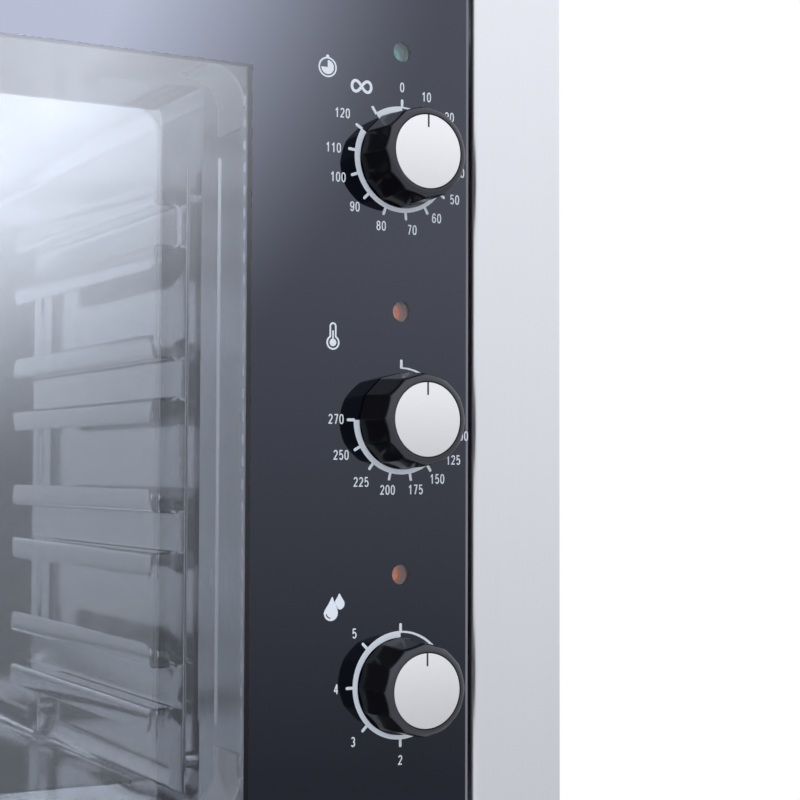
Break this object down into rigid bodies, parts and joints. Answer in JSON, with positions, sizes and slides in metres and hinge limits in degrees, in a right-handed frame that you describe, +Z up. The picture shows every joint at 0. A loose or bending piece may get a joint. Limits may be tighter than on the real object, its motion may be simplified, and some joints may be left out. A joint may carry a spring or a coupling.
{
  "type": "convection oven",
  "caption": "Countertop convection oven with a black glass door that carries the dials, a steel casing, a racked cavity, and a fan behind a baffle.",
  "frame": {"origin": "middle of the footprint, on the surface that the feet stand on", "axes": "+Z up, the glass front faces -Y, +X to the right seen from the front"},
  "size_m": [0.73, 0.7008, 0.55],
  "materials": {
    "casing_steel": "satin",
    "back_steel": "satin",
    "screw_steel": "polished",
    "foot_plastic": "matte",
    "frame_steel": "satin",
    "seal_rubber": "matte",
    "cavity_steel": "satin",
    "mineral_wool": "matte",
    "rack_steel": "polished",
    "fan_steel": "satin",
    "motor_paint": "satin",
    "bracket_steel": "satin",
    "clip_silicone": "satin",
    "heater_sheath": "satin",
    "valve_plastic": "matte",
    "pipe_steel": "satin",
    "lamp_metal": "satin",
    "clear_glass": "gloss",
    "black_enamel": "gloss",
    "door_steel": "satin",
    "strip_steel": "satin",
    "electric_plastic": "matte",
    "magnet": "matte",
    "handle_steel": "satin",
    "green_plastic": "gloss",
    "amber_plastic": "gloss",
    "knob_plastic": "gloss",
    "cap_metal": "satin",
    "spindle_metal": "satin"
  },
  "bodies": {
    "oven": {"base_pan": "casing_steel", "top_cover": "casing_steel", "right_side_panel": "casing_steel", "left_side_panel": "casing_steel", "back_panel": "back_steel", "casing_screws": "screw_steel", "baffle_screws": "screw_steel", "baffle_posts": "screw_steel", "rack_studs": "screw_steel", "feet": "foot_plastic", "front_frame": "frame_steel", "door_gasket": "seal_rubber", "cavity_shell": "cavity_steel", "fan_baffle": "cavity_steel", "insulation": "mineral_wool", "right_rack": "rack_steel", "left_rack": "rack_steel", "fan_motor": "motor_paint", "motor_plate": "bracket_steel", "hinge_brackets": "bracket_steel", "heating_elements": "heater_sheath", "solenoid_valve": "valve_plastic", "water_pipe": "pipe_steel", "vent_pipe": "pipe_steel", "temperature_probe": "pipe_steel", "lamp_housing": "lamp_metal", "lamp_glass": "clear_glass", "terminal_block": "electric_plastic", "contactor": "electric_plastic", "cable_gland": "electric_plastic", "catch_magnet": "magnet"},
    "door": {"outer_glass": "clear_glass", "glass_print": "black_enamel", "door_panel": "door_steel", "vent_strips": "strip_steel", "inner_glass": "clear_glass", "glass_clips": "clip_silicone", "catch_plate": "bracket_steel", "handle_bar": "handle_steel", "handle_posts": "handle_steel", "hinge_leaves": "bracket_steel", "timer_body": "electric_plastic", "temperature_selector": "electric_plastic", "humidity_regulator": "electric_plastic", "pilot_bodies": "valve_plastic", "green_lens": "green_plastic", "amber_lenses": "amber_plastic", "control_cover": "door_steel"},
    "fan": {"fan_wheel": "fan_steel", "motor_shaft": "fan_steel", "fan_nut": "screw_steel"},
    "timer_dial": {"timer_knob": "knob_plastic", "timer_cap": "cap_metal", "timer_spindle": "spindle_metal"},
    "temperature_dial": {"temperature_knob": "knob_plastic", "temperature_cap": "cap_metal", "temperature_spindle": "spindle_metal"},
    "humidity_dial": {"humidity_knob": "knob_plastic", "humidity_cap": "cap_metal", "humidity_spindle": "spindle_metal"}
  },
  "joints": [
    {"name": "door_hinge", "type": "hinge", "parent": "oven", "child": "door", "pos_m": [0.305, -0.2924, 0.304], "axis": [0, 0, 1], "range_deg": [0, 90]},
    {"name": "timer_turn", "type": "hinge", "parent": "door", "child": "timer_dial", "pos_m": [0.276, -0.2984, 0.432], "axis": [0, 1, 0], "range_deg": [-34, 300.6]},
    {"name": "temperature_turn", "type": "hinge", "parent": "door", "child": "temperature_dial", "pos_m": [0.276, -0.2984, 0.312], "axis": [0, 1, 0], "range_deg": [0, 270]},
    {"name": "humidity_turn", "type": "hinge", "parent": "door", "child": "humidity_dial", "pos_m": [0.276, -0.2984, 0.192], "axis": [0, 1, 0], "range_deg": [0, 315]},
    {"name": "fan_spin", "type": "hinge", "parent": "oven", "child": "fan", "pos_m": [-0.027, 0.1516, 0.303], "axis": [0, 1, 0], "continuous": true}
  ]
}
